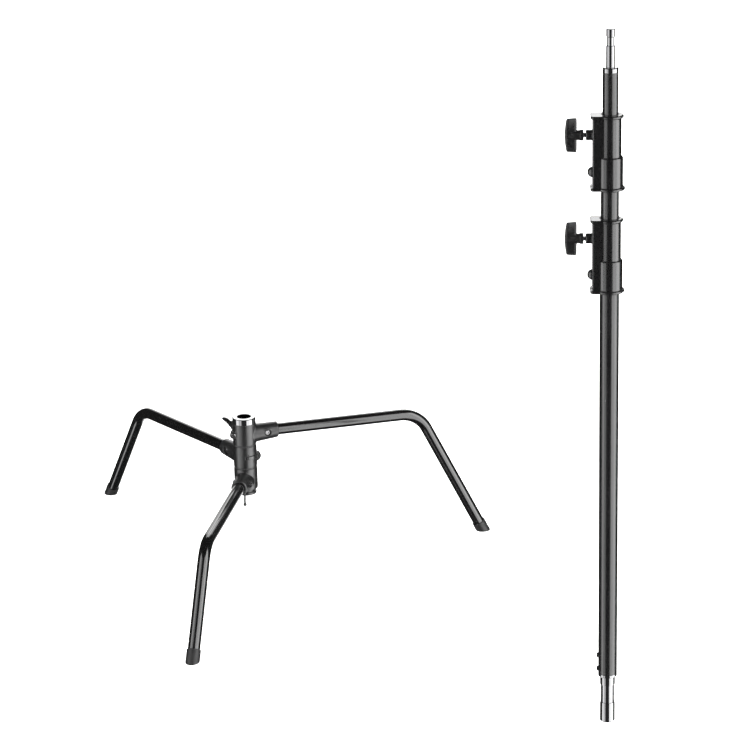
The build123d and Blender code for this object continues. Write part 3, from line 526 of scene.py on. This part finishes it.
def handles():
    """The two column knobs and the socket's smaller handle."""
    for name in ("lower", "upper"):
        node = f"{name}_clamp_knob"
        height = middle(node).z
        origin = COLUMN + UP * height
        start, end = box_along(node, origin, Vector((-1, 0, 0)))
        low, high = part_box(node)
        half_thick = (high.y - low.y) / 2 * KNOB_THICKNESS_SHARE
        size = (KNOB_WING_DEPTH, high.z - low.z, half_thick, KNOB_HUB_R, KNOB_BOW)
        t_handle(node, origin, (-1, 0, 0), (0, 0, 1), start, end, size)
    node = "socket_clamp_handle"
    clamp = next(j for j in RECORD["behaviour"]["joints"] if j["name"] == "socket_clamp_turn")
    out = -Vector(clamp["axis"])
    origin = HUB + UP * clamp["pos_m"][2]
    start, end = box_along(node, origin, out)
    lean = radians(SOCKET_HANDLE_LEAN)
    up = UP * cos(lean) + UP.cross(out) * sin(lean)
    t_handle(node, origin, out, up, start, end, HANDLE_SIZE)


# ---------------------------------------------------------------- base
def leg_tubes():
    """The bent legs: level, round a bend, then straight down to the foot."""
    for name in LEG_NAMES:
        sole = MOUNTS[f"{name}_foot_sole"]
        out = Vector((sole.x - HUB.x, sole.y - HUB.y, 0))
        reach = out.length
        out.normalize()
        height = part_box(f"{name}_leg_tube")[1].z - LEG_R
        corner = HUB + out * BEND_REACH + UP * height
        foot = HUB + out * reach
        down = (foot - corner).normalized()
        turn = out.angle(down)
        setback = BEND_R * tan(turn / 2)
        centre = corner - out * setback - UP * BEND_R
        line = [HUB + out * LEG_START + UP * height]
        for i in range(BEND_STEPS + 1):
            angle = turn * i / BEND_STEPS
            line.append(centre + out * (BEND_R * sin(angle)) + UP * (BEND_R * cos(angle)))
        line.append(foot - down * LEG_END_SETBACK * MM)
        tube = swept(f"{name}_leg_tube_bent", line, LEG_R)
        stand_for(tube, f"{name}_leg_tube")


def softened_parts():
    """The leg castings, the collars and the feet, in that order."""
    groups = (
        (("upper_leg_casting", "middle_leg_casting", "lower_leg_casting"), CASTING_SOFTENING),
        (("lower_collar", "upper_collar"), COLLAR_SOFTENING),
        ([f"{name}_foot" for name in LEG_NAMES], FOOT_SOFTENING),
    )
    for nodes, (voxel, passes) in groups:
        for node in nodes:
            stand_for(softened(node, voxel, passes), node)


# ---------------------------------------------------------------- studio
def add_sweep():
    """A white floor that curves up into a wall far behind the object, all the way round."""
    flat = SWEEP_RADIUS - SWEEP_BEND
    profile = [(0, reach) for reach in SWEEP_FLOOR_RINGS] + [(0, flat)]
    for i in range(1, SWEEP_BEND_STEPS + 1):
        angle = pi / 2 * i / SWEEP_BEND_STEPS
        profile.append((SWEEP_BEND * (1 - cos(angle)), flat + SWEEP_BEND * sin(angle)))
    profile.append((SWEEP_TOP, SWEEP_RADIUS))
    sweep = lathe("studio_sweep", profile, (0, 0, 0), segments=96)
    g = Graph("sweep_paper")
    tone = g.ramp(g.noise(1.5, 3.0, 0.5), 0.3, 0.7, (0.88, 0.88, 0.88), (0.92, 0.92, 0.92))
    g.link(tone, g.shader.inputs["Base Color"])
    g.shader.inputs["Roughness"].default_value = 0.95
    g.shader.inputs["Emission Color"].default_value = (1, 1, 1, 1)
    g.shader.inputs["Emission Strength"].default_value = SWEEP_GLOW
    sweep.data.materials.append(g.material)
    sweep.visible_glossy = False


def softbox(name, azimuth, width, radiance):
    """A tall area light; azimuth 0 is the camera's side and 90 the column's side."""
    data = bpy.data.lights.new(name, "AREA")
    data.shape = "RECTANGLE"
    data.size, data.size_y = width, SOFTBOX_HEIGHT
    data.energy = radiance * pi * width * SOFTBOX_HEIGHT
    lamp = bpy.data.objects.new(name, data)
    bpy.context.scene.collection.objects.link(lamp)
    angle = radians(azimuth)
    place = Vector((sin(angle) * SOFTBOX_DISTANCE, -cos(angle) * SOFTBOX_DISTANCE, 0))
    lamp.location = place
    lamp.rotation_euler = (-place).to_track_quat("-Z", "Y").to_euler()
    lamp.visible_camera = False


def add_lights():
    """The softboxes, in a nearly dark world."""
    for name, azimuth, width, radiance in SOFTBOXES:
        softbox(name, azimuth, width, radiance)
    world = bpy.data.worlds.new("studio")
    bpy.context.scene.world = world
    world.use_nodes = True
    background = world.node_tree.nodes["Background"]
    background.inputs["Color"].default_value = (1, 1, 1, 1)
    background.inputs["Strength"].default_value = WORLD_STRENGTH


def add_camera():
    """A long lens from the front, a little above, with a small shift for the framing."""
    data = bpy.data.cameras.new("camera")
    data.sensor_width = CAMERA_SENSOR
    data.lens = CAMERA_LENS
    data.shift_x, data.shift_y = CAMERA_SHIFT
    data.dof.use_dof = False
    data.clip_end = CAMERA_CLIP_END
    camera = bpy.data.objects.new("camera", data)
    bpy.context.scene.collection.objects.link(camera)
    camera.location = CAMERA_PLACE
    yaw = Matrix.Rotation(radians(CAMERA_YAW), 3, "Z")
    pitch = Matrix.Rotation(radians(90 - CAMERA_PITCH), 3, "X")
    roll = Matrix.Rotation(radians(-CAMERA_ROLL), 3, "Z")
    camera.rotation_euler = (yaw @ pitch @ roll).to_euler()
    bpy.context.scene.camera = camera


# ---------------------------------------------------------------- the whole scene
dress_nodes()
column_tubes()
handles()
leg_tubes()
softened_parts()
add_sweep()
add_lights()
add_camera()
bpy.context.scene.view_settings.view_transform = "Standard"
